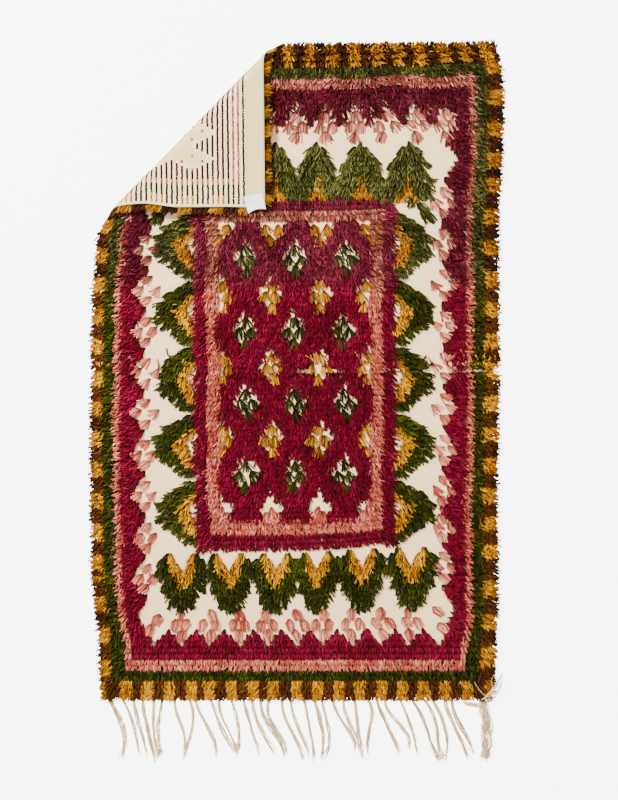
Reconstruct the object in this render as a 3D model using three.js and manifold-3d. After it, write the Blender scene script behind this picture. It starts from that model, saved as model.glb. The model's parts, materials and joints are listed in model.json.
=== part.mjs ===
// A rya rug: long wool pile knotted in a pattern on a plain woven cotton ground, lying face up on the
// floor with one corner turned over, so that its flat woven back and a small sewn label show there.
// Millimetres, +Z up. The origin is the middle of the woven ground, on the floor; +Y runs along the
// rug's length, away from the fringed end.

import * as THREE from 'three';
import Module from 'manifold-3d';
import { mergeVertices } from 'three/addons/utils/BufferGeometryUtils.js';

const wasm = await Module();
wasm.setup();

// Driving dimensions, mm.
const HALF_WIDTH = 490; // nominal half width of the woven ground
const HALF_LENGTH = 810; // nominal half length of the woven ground
const WEAVE_THICK = 3; // woven ground, with the backs of the knots
const PILE_HEIGHT = 13; // lying pile over the ground
const PILE_LUMP = 2; // how far the pile's height varies either way
const KNOT_ROW = 12.86; // spacing of the rows of knots
const COLUMNS = 44; // cells across the slab
const ROWS_EACH_HALF = 36; // cells from the storage crease to each end

// The storage crease, where the pile parts across the rug's middle.
const CREASE_Y = 9;
const CREASE_DEPTH = 7;

// The rug's outline is uneven. Half widths of the ground at places along its length.
const EDGE_ROWS = [
  { y: 810, left: 486, right: 490 },
  { y: 690, left: 482, right: 496 },
  { y: 600, left: 481, right: 497 },
  { y: 505, left: 470, right: 492 },
  { y: 420, left: 474, right: 484 },
  { y: 334, left: 492, right: 483 },
  { y: 180, left: 502, right: 485 },
  { y: 0, left: 506, right: 486 },
  { y: -316, left: 505, right: 482 },
  { y: -466, left: 504, right: 483 },
  { y: -666, left: 489, right: 482 },
  { y: -810, left: 483, right: 474 },
];
const TOP_EDGE_MIDDLE = 1.5; // how far the top edge lies from its nominal place
const TOP_EDGE_TILT = 5; // and how much more of that at each corner
const LEFT_LEAN = -0.036; // sideways lean of the inner pattern in the left half, mm per mm of length
const RIGHT_LEAN = -6; // sideways shift of the inner pattern in the right half

// The turned corner. The outside of the fold runs through two points of the plan.
const FOLD_RADIUS = 18; // outside radius, to the back of the weave
const FOLD_AT_SIDE = new THREE.Vector2(-445.6, 431.2);
const FOLD_AT_TOP = new THREE.Vector2(-81.8, 802.7);
const FOLD_STEPS = 6;
const FLAP_WAVE = 2.2; // how far the turned corner rides up and down

// Root bands of the pattern, from each edge inwards.
const SIDE_BAND = { border: 67, valley: 79, peak: 105, period: 8 * KNOT_ROW };
const TOP_BAND = { border: 83, valley: 98, peak: 140, period: 70 };
const FOOT_BAND = { border: 103, valley: 141, peak: 186, period: 70 };

// Leaf shapes in the bare band round the middle panel.
const LEAF = { length: 139, halfWidth: 56, notch: 36 };
const END_LEAF_PITCH = 112.5;
const END_LEAF_COUNT = 6;
const TOP_LEAF_BASE = 458;
const FOOT_LEAF_BASE = -447;
const SIDE_LEAF = { length: 98, halfWidth: 77, notch: 24 };
const SIDE_LEAF_PITCH = 163;
const SIDE_LEAF_COUNT = 5;
const SIDE_LEAF_MIDDLE = -15;

// Middle panel with its lattice and diamond-shaped bare windows.
const PANEL = { halfWidth: 245, top: 457, foot: -428, frame: 54 };
const LATTICE = { x: -8, y: 10.5, columnPitch: 123, rowPitch: 177.4, window: 0.5 };

// The pile overhangs the ground's edge, and locks of it stand out all round the rim.
const OVERHANG = 7.5;
const LOCK_LENGTH = { least: 10, most: 17 };
const FLAP_LOCK_LENGTH = { least: 14, most: 24 };

// Fringe of knotted warp ends, from left to right: how far across each one starts, where it is after a
// third and two thirds of its length and where it ends, with its length along the rug and its width.
const STRANDS = [
  { root: -478, upper: -451, lower: -435, tip: -445, length: 147, width: 7 },
  { root: -445, upper: -422, lower: -408, tip: -399, length: 134, width: 5 },
  { root: -414, upper: -406, lower: -392, tip: -380, length: 144, width: 5 },
  { root: -390, upper: -385, lower: -373, tip: -358, length: 152, width: 6 },
  { root: -362, upper: -364, lower: -360, tip: -350, length: 145, width: 5 },
  { root: -340, upper: -349, lower: -350, tip: -343, length: 138, width: 5 },
  { root: -308, upper: -304, lower: -286, tip: -290, length: 145, width: 5 },
  { root: -278, upper: -265, lower: -271, tip: -282, length: 138, width: 5 },
  { root: -258, upper: -244, lower: -218, tip: -207, length: 142, width: 5 },
  { root: -224, upper: -208, lower: -190, tip: -165, length: 128, width: 5 },
  { root: -199, upper: -190, lower: -174, tip: -156, length: 142, width: 5 },
  { root: -172, upper: -160, lower: -154, tip: -146, length: 132, width: 5 },
  { root: -142, upper: -128, lower: -115, tip: -98, length: 133, width: 5 },
  { root: -120, upper: -109, lower: -90, tip: -60, length: 132, width: 5 },
  { root: -93, upper: -88, lower: -59, tip: -38, length: 142, width: 6 },
  { root: -68, upper: -76, lower: -48, tip: -27, length: 132, width: 5 },
  { root: -40, upper: -35, lower: -10, tip: 11, length: 147, width: 5 },
  { root: -20, upper: -12, lower: 8, tip: 26, length: 146, width: 5 },
  { root: 12, upper: 22, lower: 32, tip: 38, length: 150, width: 4 },
  { root: 35, upper: 51, lower: 60, tip: 56, length: 150, width: 6 },
  { root: 57, upper: 66, lower: 76, tip: 67, length: 146, width: 6 },
  { root: 88, upper: 95, lower: 125, tip: 142, length: 130, width: 5 },
  { root: 112, upper: 116, lower: 136, tip: 151, length: 125, width: 5 },
  { root: 136, upper: 145, lower: 150, tip: 161, length: 142, width: 5 },
  { root: 167, upper: 182, lower: 174, tip: 175, length: 134, width: 5 },
  { root: 192, upper: 208, lower: 228, tip: 252, length: 129, width: 5 },
  { root: 218, upper: 228, lower: 264, tip: 273, length: 125, width: 5 },
  { root: 247, upper: 270, lower: 285, tip: 294, length: 134, width: 4 },
  { root: 275, upper: 308, lower: 326, tip: 347, length: 150, width: 6 },
  { root: 305, upper: 337, lower: 347, tip: 357, length: 150, width: 6 },
  { root: 330, upper: 354, lower: 369, tip: 368, length: 146, width: 5 },
  { root: 362, upper: 378, lower: 401, tip: 425, length: 147, width: 6 },
  { root: 384, upper: 390, lower: 413, tip: 437, length: 130, width: 6 },
  { root: 455, upper: 462, lower: 465, tip: 467, length: 150, width: 22 },
];
const STRAND_STEPS = 9;
const STRAND_HEIGHT = { thin: 3.6, thick: 6 };
const STRAND_RISE = 30; // run over which a strand thickens from the strip's height to its own
const STRIP = { depth: 8, height: 2.4 };
const TOUCH_GAP = 0.3;

// Label sewn across the corner, on the back.
const LABEL = { width: 47, length: 42, thick: 1, turn: 14, curl: 4 };
const LABEL_MIDDLE = new THREE.Vector2(-109, 423);

// A repeatable number from 0 to 1 for a pair of whole numbers.
function chance(i, j) {
  const wave = Math.sin(i * 127.1 + j * 311.7) * 43758.5453;
  return wave - Math.floor(wave);
}

function blend(from, to, share) {
  return from + (to - from) * share;
}

function smooth(share) {
  const t = Math.min(1, Math.max(0, share));
  return t * t * (3 - 2 * t);
}

// Half width of the ground on one side, read between the rows of the table with a soft curve.
function halfWidthAt(y, side) {
  const below = EDGE_ROWS.findIndex((row) => row.y <= y);
  if (below <= 0) return EDGE_ROWS[below === 0 ? 0 : EDGE_ROWS.length - 1][side];
  const upper = EDGE_ROWS[below - 1];
  const lower = EDGE_ROWS[below];
  return blend(lower[side], upper[side], smooth((y - lower.y) / (upper.y - lower.y)));
}

// Where a point of the nominal pattern lies on the real, uneven rug before its corner is turned.
function lie(a, b) {
  const outward = Math.abs(a) / HALF_WIDTH;
  const side = a < 0 ? 'left' : 'right';
  const inner = 4 * outward * (1 - outward);
  const lean = a < 0 ? LEFT_LEAN * b : RIGHT_LEAN;
  const lift = b > 0 ? (b / HALF_LENGTH) * (TOP_EDGE_MIDDLE + (TOP_EDGE_TILT * a) / HALF_WIDTH) : 0;
  return new THREE.Vector2((a * halfWidthAt(b, side)) / HALF_WIDTH + lean * inner, b + lift);
}

// The fold's axis, the way along it and the way across it towards the turned corner.
const foldAlong = FOLD_AT_TOP.clone().sub(FOLD_AT_SIDE).normalize();
const foldAcross = new THREE.Vector2(-foldAlong.y, foldAlong.x);
const foldAxis = FOLD_AT_SIDE.clone().addScaledVector(foldAcross, -FOLD_RADIUS);
const foldArc = Math.PI * FOLD_RADIUS;

function pastFold(point) {
  return point.clone().sub(foldAxis).dot(foldAcross);
}

// Takes a point of the flat rug, at a height over its back, to where it lies once the corner is turned.
function turnCorner(point, height) {
  const past = pastFold(point);
  if (past <= 0) return new THREE.Vector3(point.x, point.y, height);
  const foot = point.clone().addScaledVector(foldAcross, -past);
  if (past < foldArc) {
    const angle = past / FOLD_RADIUS;
    const reach = FOLD_RADIUS - height;
    foot.addScaledVector(foldAcross, reach * Math.sin(angle));
    return new THREE.Vector3(foot.x, foot.y, FOLD_RADIUS - reach * Math.cos(angle));
  }
  const run = past - foldArc;
  const along = point.clone().sub(foldAxis).dot(foldAlong);
  const wave = 0.5 - 0.5 * Math.cos(run / 42) * Math.cos(along / 75);
  foot.addScaledVector(foldAcross, -run);
  const ride = FLAP_WAVE * wave * smooth(run / 60);
  return new THREE.Vector3(foot.x, foot.y, 2 * FOLD_RADIUS + ride - height);
}

// The other way round, for a thing placed on the turned corner: its plan to the flat rug.
function unturn(point) {
  const run = -pastFold(point);
  return point.clone().addScaledVector(foldAcross, 2 * run + foldArc);
}

// Zigzag from 0 in its valleys to 1 at its peaks.
function zigzag(along, period) {
  const t = along / period;
  return 1 - Math.abs(2 * (t - Math.floor(t)) - 1);
}

function inBand(band, fromEdge, along) {
  return fromEdge < blend(band.valley, band.peak, zigzag(along, band.period));
}

// A leaf with two lobes at its base and one point. out is the way from its base to its point.
function inLeaf(leaf, out, across) {
  const t = out / leaf.length;
  const w = Math.abs(across) / leaf.halfWidth;
  if (t < 0 || t > 1) return false;
  if (w * leaf.notch * 2.4 < leaf.notch - out) return false;
  const body = t < 0.35 ? 0.78 + 0.22 * smooth(t / 0.35) : Math.sqrt(Math.max(0, 1 - ((t - 0.35) / 0.67) ** 2));
  return w < body;
}

function inEndLeaves(a, base, way, b) {
  const reach = (END_LEAF_COUNT / 2) * END_LEAF_PITCH;
  if (Math.abs(a) > reach) return false;
  const across = ((a + reach) % END_LEAF_PITCH) - END_LEAF_PITCH / 2;
  return inLeaf(LEAF, (b - base) * way, across);
}

function inSideLeaves(a, b) {
  const reach = (SIDE_LEAF_COUNT / 2) * SIDE_LEAF_PITCH;
  const from = b - SIDE_LEAF_MIDDLE;
  if (Math.abs(from) > reach) return false;
  const across = ((from + reach) % SIDE_LEAF_PITCH) - SIDE_LEAF_PITCH / 2;
  return inLeaf(SIDE_LEAF, Math.abs(a) - PANEL.halfWidth - 4, across);
}

// Bare diamond windows at the lattice's crossings and half way between them.
function inWindow(a, b) {
  const u = (a - LATTICE.x) / LATTICE.columnPitch;
  const v = (b - LATTICE.y) / LATTICE.rowPitch;
  const near = (x) => Math.abs(x - Math.round(x));
  const crossing = 2 * (near(u) + near(v - 0.5));
  const between = 2 * (near(u - 0.5) + near(v));
  return Math.min(crossing, between) < LATTICE.window;
}

function hasPile(a, b) {
  const fromSide = HALF_WIDTH - Math.abs(a);
  if (inBand(SIDE_BAND, fromSide, b + 0.25 * SIDE_BAND.period)) return true;
  if (inBand(TOP_BAND, HALF_LENGTH - b, a)) return true;
  if (inBand(FOOT_BAND, HALF_LENGTH + b, a)) return true;
  if (inEndLeaves(a, TOP_LEAF_BASE, 1, b) || inEndLeaves(a, FOOT_LEAF_BASE, -1, b)) return true;
  if (inSideLeaves(a, b)) return true;
  if (Math.abs(a) > PANEL.halfWidth || b > PANEL.top || b < PANEL.foot) return false;
  const inFrame = Math.abs(a) > PANEL.halfWidth - PANEL.frame
    || b > PANEL.top - PANEL.frame
    || b < PANEL.foot + PANEL.frame;
  return inFrame || !inWindow(a, b);
}

// Share of pile round a point, so that small shapes soften instead of dropping out of the slab.
function pileShare(a, b, reachA, reachB) {
  let found = 0;
  for (const i of [-1, 0, 1]) {
    for (const j of [-1, 0, 1]) {
      if (hasPile(a + i * reachA, b + j * reachB)) found += 1;
    }
  }
  return found / 9;
}

// The flat rug's cells, each cut by the lines across which the fold bends.
function cutCells() {
  const points = [];
  const known = new Map();
  const pointFor = (spot) => {
    const key = `${Math.round(spot.x * 1000)},${Math.round(spot.y * 1000)}`;
    if (!known.has(key)) {
      known.set(key, points.length);
      points.push(spot);
    }
    return known.get(key);
  };

  const rows = [];
  for (let j = -ROWS_EACH_HALF; j <= ROWS_EACH_HALF; j += 1) {
    const end = j < 0 ? -HALF_LENGTH : HALF_LENGTH;
    rows.push(blend(CREASE_Y, end, Math.abs(j) / ROWS_EACH_HALF));
  }
  const cellA = (2 * HALF_WIDTH) / COLUMNS;
  const cellB = HALF_LENGTH / ROWS_EACH_HALF;
  const grid = rows.map((b, j) => Array.from({ length: COLUMNS + 1 }, (_, i) => {
    const a = -HALF_WIDTH + i * cellA;
    const share = smooth(pileShare(a, b, cellA / 3, cellB / 3) * 1.15);
    const dip = j === ROWS_EACH_HALF ? CREASE_DEPTH * share : 0;
    const lump = PILE_LUMP * (2 * chance(i, j) - 1) * share;
    const { x, y } = lie(a, b);
    return { x, y, top: WEAVE_THICK + share * PILE_HEIGHT + lump - dip };
  }));

  const before = (p, q) => p.x < q.x || (p.x === q.x && p.y < q.y);
  const across = (spot) => pastFold(new THREE.Vector2(spot.x, spot.y));
  const crossing = (p, q, limit) => {
    const [from, to] = before(p, q) ? [p, q] : [q, p];
    const share = (limit - across(from)) / (across(to) - across(from));
    return {
      x: blend(from.x, to.x, share),
      y: blend(from.y, to.y, share),
      top: blend(from.top, to.top, share),
    };
  };
  const half = (outline, limit, sign) => outline.flatMap((p, k) => {
    const q = outline[(k + 1) % outline.length];
    const dp = sign * (across(p) - limit);
    const dq = sign * (across(q) - limit);
    const kept = dp >= 0 ? [p] : [];
    if ((dp > 0 && dq < 0) || (dp < 0 && dq > 0)) kept.push(crossing(p, q, limit));
    return kept;
  });

  let cells = [];
  for (let j = 0; j < 2 * ROWS_EACH_HALF; j += 1) {
    for (let i = 0; i < COLUMNS; i += 1) {
      cells.push([grid[j][i], grid[j][i + 1], grid[j + 1][i + 1], grid[j + 1][i]]);
    }
  }
  for (let k = 0; k <= FOLD_STEPS; k += 1) {
    const limit = (k / FOLD_STEPS) * foldArc;
    cells = cells.flatMap((cell) => {
      const places = cell.map((spot) => across(spot) - limit);
      if (Math.min(...places) >= 0 || Math.max(...places) <= 0) return [cell];
      return [half(cell, limit, -1), half(cell, limit, 1)];
    });
  }
  const outlines = cells.map((cell) => {
    const middle = cell.reduce((sum, spot) => sum + across(spot), 0) / cell.length;
    return { turned: middle > 0, loop: cell.map(pointFor) };
  });
  return { points, outlines };
}

// Directed edges that no neighbour shares, joined into one loop.
function rimLoop(loops) {
  const next = new Map();
  for (const loop of loops) {
    loop.forEach((p, k) => next.set(`${p}>${loop[(k + 1) % loop.length]}`, [p, loop[(k + 1) % loop.length]]));
  }
  const follow = new Map();
  for (const [p, q] of next.values()) {
    if (!next.has(`${q}>${p}`)) follow.set(p, q);
  }
  const start = follow.keys().next().value;
  const rim = [start];
  for (let p = follow.get(start); p !== start; p = follow.get(p)) rim.push(p);
  return rim;
}

function fan(loop) {
  return loop.slice(1, -1).map((_, k) => [loop[0], loop[k + 1], loop[k + 2]]);
}

function geometryFrom(corners, triangles) {
  const geometry = new THREE.BufferGeometry();
  geometry.setAttribute('position', new THREE.Float32BufferAttribute(corners.flatMap((p) => p.toArray()), 3));
  geometry.setIndex(triangles.flat());
  geometry.computeVertexNormals();
  return geometry;
}

// The rug: ground and pile as one lumpy slab, with locks of pile round its rim and its corner turned.
function rugSlab() {
  const { points, outlines } = cutCells();
  const flat = points.map((p) => new THREE.Vector2(p.x, p.y));
  const corners = [];
  const place = (spot, height) => corners.push(turnCorner(spot, height)) - 1;
  const rim = rimLoop(outlines.map((cell) => cell.loop));
  const spread = new Map(rim.map((p, k) => {
    const before = flat[rim[(k + rim.length - 1) % rim.length]];
    const run = flat[rim[(k + 1) % rim.length]].clone().sub(before);
    return [p, new THREE.Vector2(run.y, -run.x).setLength(OVERHANG)];
  }));
  const back = flat.map((spot) => place(spot, 0));
  const top = points.map((p, k) => place(flat[k].clone().add(spread.get(k) ?? new THREE.Vector2()), p.top));
  const triangles = [];

  for (const { loop } of outlines) triangles.push(...fan(loop.map((p) => top[p])));
  for (const { turned, loop } of outlines) {
    if (turned) triangles.push(...fan(loop.map((p) => back[p]).reverse()));
  }
  const resting = rimLoop(outlines.filter((cell) => !cell.turned).map((cell) => cell.loop));
  const cut = THREE.ShapeUtils.triangulateShape(resting.map((p) => flat[p]), []);
  triangles.push(...cut.map(([p, q, r]) => [back[resting[r]], back[resting[q]], back[resting[p]]]));

  const selvedge = new Map(rim.map((p) => [p, place(flat[p], WEAVE_THICK)]));
  rim.forEach((p, k) => {
    const q = rim[(k + 1) % rim.length];
    const run = flat[q].clone().sub(flat[p]);
    const out = new THREE.Vector2(run.y, -run.x).normalize();
    const length = pastFold(flat[p]) > 0 ? FLAP_LOCK_LENGTH : LOCK_LENGTH;
    const tip = flat[p].clone().lerp(flat[q], blend(0.35, 0.65, chance(k, 3)));
    tip.addScaledVector(out, blend(length.least, length.most, chance(k, 7)));
    const point = place(tip, blend(0.3, 0.55, chance(k, 5)) * (WEAVE_THICK + PILE_HEIGHT));
    triangles.push([back[p], back[q], selvedge.get(q)], [back[p], selvedge.get(q), selvedge.get(p)]);
    triangles.push([selvedge.get(p), selvedge.get(q), point], [selvedge.get(q), top[q], point]);
    triangles.push([top[q], top[p], point], [top[p], selvedge.get(p), point]);
  });
  return geometryFrom(corners, triangles);
}

// A closed sheet over a grid of places, each given on its under and its upper side.
function sheetOver(under, upper) {
  const rows = under.length;
  const columns = under[0].length;
  const corners = [...under.flat(), ...upper.flat()];
  const low = (i, j) => j * columns + i;
  const high = (i, j) => rows * columns + j * columns + i;
  const triangles = [];
  const quad = (p, q, r, s) => triangles.push([p, q, r], [p, r, s]);
  for (let j = 0; j < rows - 1; j += 1) {
    for (let i = 0; i < columns - 1; i += 1) {
      quad(high(i, j), high(i + 1, j), high(i + 1, j + 1), high(i, j + 1));
      quad(low(i, j), low(i, j + 1), low(i + 1, j + 1), low(i + 1, j));
    }
  }
  for (let i = 0; i < columns - 1; i += 1) {
    quad(low(i, 0), low(i + 1, 0), high(i + 1, 0), high(i, 0));
    quad(low(i + 1, rows - 1), low(i, rows - 1), high(i, rows - 1), high(i + 1, rows - 1));
  }
  for (let j = 0; j < rows - 1; j += 1) {
    quad(low(0, j + 1), low(0, j), high(0, j), high(0, j + 1));
    quad(low(columns - 1, j), low(columns - 1, j + 1), high(columns - 1, j + 1), high(columns - 1, j));
  }
  return geometryFrom(corners, triangles);
}

// The label, lying on the back at the turned corner, with its free end curled up a little.
function labelSheet() {
  const steps = 5;
  const turn = THREE.MathUtils.degToRad(LABEL.turn);
  const layer = (height) => Array.from({ length: steps + 1 }, (_, j) => (
    Array.from({ length: steps + 1 }, (__, i) => {
      const u = i / steps - 0.5;
      const v = j / steps - 0.5;
      const spot = new THREE.Vector2(u * LABEL.width, v * LABEL.length);
      spot.rotateAround(new THREE.Vector2(), turn).add(LABEL_MIDDLE);
      const curl = LABEL.curl * smooth(-2 * v) * Math.cos(Math.PI * u);
      return turnCorner(unturn(spot), -height - curl);
    })
  ));
  return sheetOver(layer(TOUCH_GAP), layer(TOUCH_GAP + LABEL.thick));
}

function solidOf(geometry) {
  const bare = mergeVertices(geometry.clone().deleteAttribute('normal').deleteAttribute('uv'));
  return new wasm.Manifold(new wasm.Mesh({
    numProp: 3,
    vertProperties: new Float32Array(bare.attributes.position.array),
    triVerts: new Uint32Array(bare.index.array),
  }));
}

function geometryOf(solid) {
  const mesh = solid.getMesh();
  const geometry = new THREE.BufferGeometry();
  geometry.setAttribute('position', new THREE.Float32BufferAttribute(mesh.vertProperties, 3));
  geometry.setIndex(Array.from(mesh.triVerts));
  geometry.computeVertexNormals();
  return geometry;
}

// One strand of three sides lying on the floor, from inside the strip out to its end.
function strand(row, height) {
  const corners = [];
  const startY = -HALF_LENGTH - TOUCH_GAP - 0.6 * STRIP.depth;
  const path = new THREE.CatmullRomCurve3([
    new THREE.Vector3(row.root, startY, 0),
    new THREE.Vector3(row.upper, startY - row.length / 3, 0),
    new THREE.Vector3(row.lower, startY - (2 * row.length) / 3, 0),
    new THREE.Vector3(row.tip, startY - row.length, 0),
  ]);
  for (let k = 0; k <= STRAND_STEPS; k += 1) {
    const t = k / STRAND_STEPS;
    const { x, y } = path.getPoint(t);
    const half = 0.5 * row.width * (0.8 + 0.4 * t);
    const rise = blend(STRIP.height, height, smooth((startY - y) / STRAND_RISE));
    corners.push(
      new THREE.Vector3(x - half, y, 0),
      new THREE.Vector3(x + half, y, 0),
      new THREE.Vector3(x, y, rise),
    );
  }
  const triangles = [[0, 2, 1]];
  for (let k = 0; k < STRAND_STEPS; k += 1) {
    for (let side = 0; side < 3; side += 1) {
      const p = 3 * k + side;
      const q = 3 * k + ((side + 1) % 3);
      triangles.push([p, q + 3, p + 3], [p, q, q + 3]);
    }
  }
  const last = 3 * STRAND_STEPS;
  triangles.push([last, last + 1, last + 2]);
  return geometryFrom(corners, triangles);
}

// The strip from which all the strands run.
function fringe() {
  const left = -halfWidthAt(-HALF_LENGTH, 'left') + 2;
  const right = halfWidthAt(-HALF_LENGTH, 'right') - 4;
  const middleY = -HALF_LENGTH - TOUCH_GAP - STRIP.depth / 2;
  const strip = new THREE.BoxGeometry(right - left, STRIP.depth, STRIP.height);
  strip.translate((left + right) / 2, middleY, STRIP.height / 2);
  let solid = solidOf(strip);
  for (const row of STRANDS) {
    const height = row.width > 10 ? STRAND_HEIGHT.thick : STRAND_HEIGHT.thin;
    solid = solid.add(solidOf(strand(row, height)));
  }
  return geometryOf(solid);
}

function piece(name, geometry, color, roughness) {
  const material = new THREE.MeshStandardMaterial({ color, roughness, metalness: 0 });
  const mesh = new THREE.Mesh(geometry, material);
  mesh.name = name;
  return mesh;
}

const ryaRug = new THREE.Group();
ryaRug.add(piece('rug', rugSlab(), 0x7b1123, 0.95));
ryaRug.add(piece('fringe', fringe(), 0xd8cbb6, 0.9));
ryaRug.add(piece('label', labelSheet(), 0xe9e9ea, 0.5));

export default ryaRug;
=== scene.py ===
# %% [markdown]
# # A rya rug with one corner turned over
#
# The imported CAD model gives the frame: a lumpy folded slab, a fringe and a label. Here each gets its
# real surface. The slab becomes a thin woven ground with thousands of knotted wool tufts, laid out by
# a chart of the rug's pattern, and its turned corner shows the backs of the knots.

# %% Load the frame
import json
import math

import bpy
import numpy as np
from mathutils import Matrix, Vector

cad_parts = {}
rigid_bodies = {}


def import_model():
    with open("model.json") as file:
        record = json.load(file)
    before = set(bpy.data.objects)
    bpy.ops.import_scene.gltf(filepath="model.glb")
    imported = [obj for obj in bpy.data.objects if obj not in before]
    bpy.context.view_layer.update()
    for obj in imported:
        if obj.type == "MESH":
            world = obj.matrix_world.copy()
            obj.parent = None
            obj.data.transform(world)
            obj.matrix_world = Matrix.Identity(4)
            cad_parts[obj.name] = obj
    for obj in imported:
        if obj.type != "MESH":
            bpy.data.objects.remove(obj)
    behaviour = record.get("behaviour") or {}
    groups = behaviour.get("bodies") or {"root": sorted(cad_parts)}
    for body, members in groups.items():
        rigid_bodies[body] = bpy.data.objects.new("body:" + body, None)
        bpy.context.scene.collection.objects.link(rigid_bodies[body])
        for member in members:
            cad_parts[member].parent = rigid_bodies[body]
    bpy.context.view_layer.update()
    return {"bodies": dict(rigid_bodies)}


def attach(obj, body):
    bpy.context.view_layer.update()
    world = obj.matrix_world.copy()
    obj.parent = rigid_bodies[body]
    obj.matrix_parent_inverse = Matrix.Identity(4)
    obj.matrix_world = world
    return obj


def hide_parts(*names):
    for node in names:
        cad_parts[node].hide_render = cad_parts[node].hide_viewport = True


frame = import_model()
rng = np.random.default_rng(11)
MM = 0.001

# %% [markdown]
# ## The camera
#
# The photo looks straight down on the rug from far away. It covers 1.545 by 2.0 m at the floor, and its
# middle is a little to the right of the rug's middle and a little towards the fringe.

# %% Camera
VIEW_MIDDLE = (0.025, -0.066)
VIEW_LENGTH = 2.0
CAMERA_HEIGHT = 7.0
SENSOR = 36

bpy.ops.object.select_all(action="DESELECT")
bpy.ops.object.camera_add(location=(*VIEW_MIDDLE, CAMERA_HEIGHT), rotation=(0, 0, 0))
camera = bpy.context.object
camera.data.sensor_width = SENSOR
camera.data.lens = SENSOR * CAMERA_HEIGHT / VIEW_LENGTH
camera.data.dof.use_dof = False
bpy.context.scene.camera = camera
print("lens", round(camera.data.lens, 1), "mm")

# %% [markdown]
# ## How the rug lies
#
# The same numbers as the CAD solids. The ground is 980 by 1620 mm, its edges waver, and its pattern
# rises a little at the right near the fringe. A corner is turned over along a line, with a round fold
# of 18 mm radius measured to the back of the weave. Every point of the flat rug goes through these
# functions, at a height over the back of the weave.

# %% The lie of the cloth
HALF_WIDTH, HALF_LENGTH = 490, 810
WEAVE = 3.0
EDGE_Y = np.array([-810, -666, -466, -316, 0, 180, 334, 420, 505, 600, 690, 810])
EDGE_LEFT = np.array([483, 489, 504, 505, 506, 502, 492, 474, 470, 481, 482, 486])
EDGE_RIGHT = np.array([474, 482, 483, 482, 486, 485, 483, 484, 492, 497, 496, 490])
# The inner pattern of the right half lies to the left, and the top edge is lifted and tilted.
INNER_SHIFT, TOP_LIFT, TOP_TILT = 6, 1.5, 5
# The rise at the right: how high, from where and over what width, and its middle and spread along the rug.
RISE, RISE_FROM, RISE_OVER, RISE_MIDDLE, RISE_SPREAD = 16, -60, 340, -460, 135
FOLD_RADIUS = 18
FOLD_AT_SIDE = np.array([-445.6, 431.2])
FOLD_AT_TOP = np.array([-81.8, 802.7])
# How far the turned corner rides up and down, in what waves, and how far from the fold that sets in.
FLAP_WAVE, WAVE_ACROSS, WAVE_ALONG, WAVE_FROM = 2.2, 42, 75, 60

fold_along = (FOLD_AT_TOP - FOLD_AT_SIDE) / np.linalg.norm(FOLD_AT_TOP - FOLD_AT_SIDE)
fold_across = np.array([-fold_along[1], fold_along[0]])
fold_axis = FOLD_AT_SIDE - FOLD_RADIUS * fold_across
fold_arc = math.pi * FOLD_RADIUS


def smooth(t):
    """From 0 to 1 with a soft start and a soft end."""
    t = np.clip(t, 0, 1)
    return t * t * (3 - 2 * t)


def half_width(y, table):
    """Half width of the ground on one side, with a soft curve between the rows of the table."""
    at = np.clip(np.searchsorted(EDGE_Y, y, side="right") - 1, 0, len(EDGE_Y) - 2)
    share = smooth((y - EDGE_Y[at]) / (EDGE_Y[at + 1] - EDGE_Y[at]))
    return table[at] + (table[at + 1] - table[at]) * share


def lie(a, b):
    """Where a point of the nominal rug, a across and b along, lies on the uneven one."""
    a, b = np.broadcast_arrays(np.asarray(a, float), np.asarray(b, float))
    wide = np.where(a < 0, half_width(b, EDGE_LEFT), half_width(b, EDGE_RIGHT))
    outward = np.abs(a) / HALF_WIDTH
    inner = 4 * outward * (1 - outward)
    x = a * wide / HALF_WIDTH - np.where(a > 0, INNER_SHIFT * inner, 0)
    y = b + np.where(b > 0, b / HALF_LENGTH * (TOP_LIFT + TOP_TILT * a / HALF_WIDTH), 0)
    y = y + RISE * smooth((x - RISE_FROM) / RISE_OVER) * np.exp(-(((b - RISE_MIDDLE) / RISE_SPREAD) ** 2))
    return x, y


def past_fold(x, y):
    """How far a place of the flat rug lies past the line where the fold begins."""
    return (x - fold_axis[0]) * fold_across[0] + (y - fold_axis[1]) * fold_across[1]


def turn_corner(x, y, height):
    """Takes points of the flat rug, at heights over its back, to where they lie with the corner turned."""
    x, y, height = np.broadcast_arrays(*(np.asarray(v, float) for v in (x, y, height)))
    past = past_fold(x, y)
    along = (x - fold_axis[0]) * fold_along[0] + (y - fold_axis[1]) * fold_along[1]
    angle = np.clip(past, 0, fold_arc) / FOLD_RADIUS
    run = np.maximum(past - fold_arc, 0)
    reach = FOLD_RADIUS - height
    place = np.where(past <= 0, past, reach * np.sin(angle) - run)
    wave = 0.5 - 0.5 * np.cos(run / WAVE_ACROSS) * np.cos(along / WAVE_ALONG)
    ride = FLAP_WAVE * wave * smooth(run / WAVE_FROM)
    z = np.where(past <= 0, height, FOLD_RADIUS - reach * np.cos(angle) + ride)
    plan_x = fold_axis[0] + along * fold_along[0] + place * fold_across[0]
    plan_y = fold_axis[1] + along * fold_along[1] + place * fold_across[1]
    return np.stack([plan_x, plan_y, z], axis=-1) * MM


def unturn(x, y):
    """The place of the flat rug that comes to lie at x, y on the turned corner."""
    run = -past_fold(x, y)
    return x + fold_across[0] * (2 * run + fold_arc), y + fold_across[1] * (2 * run + fold_arc)


print("fold arc", round(fold_arc, 1), "mm")

# %% [markdown]
# ## The chart of the pattern
#
# Rya is knotted in rows, here 126 rows 12.84 mm apart with about 140 knots in each. The chart gives
# each knot its wool. It is drawn from rules, as a weaver's draft is: stripes counted in rows and knots,
# zigzags, a lattice with diamond windows, and three small motifs.

# %% Rows and knots
ROWS, KNOTS = 126, 140
ROW_PITCH, KNOT_PITCH = 12.84, 7.0
FIRST_ROW = 809.0
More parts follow.
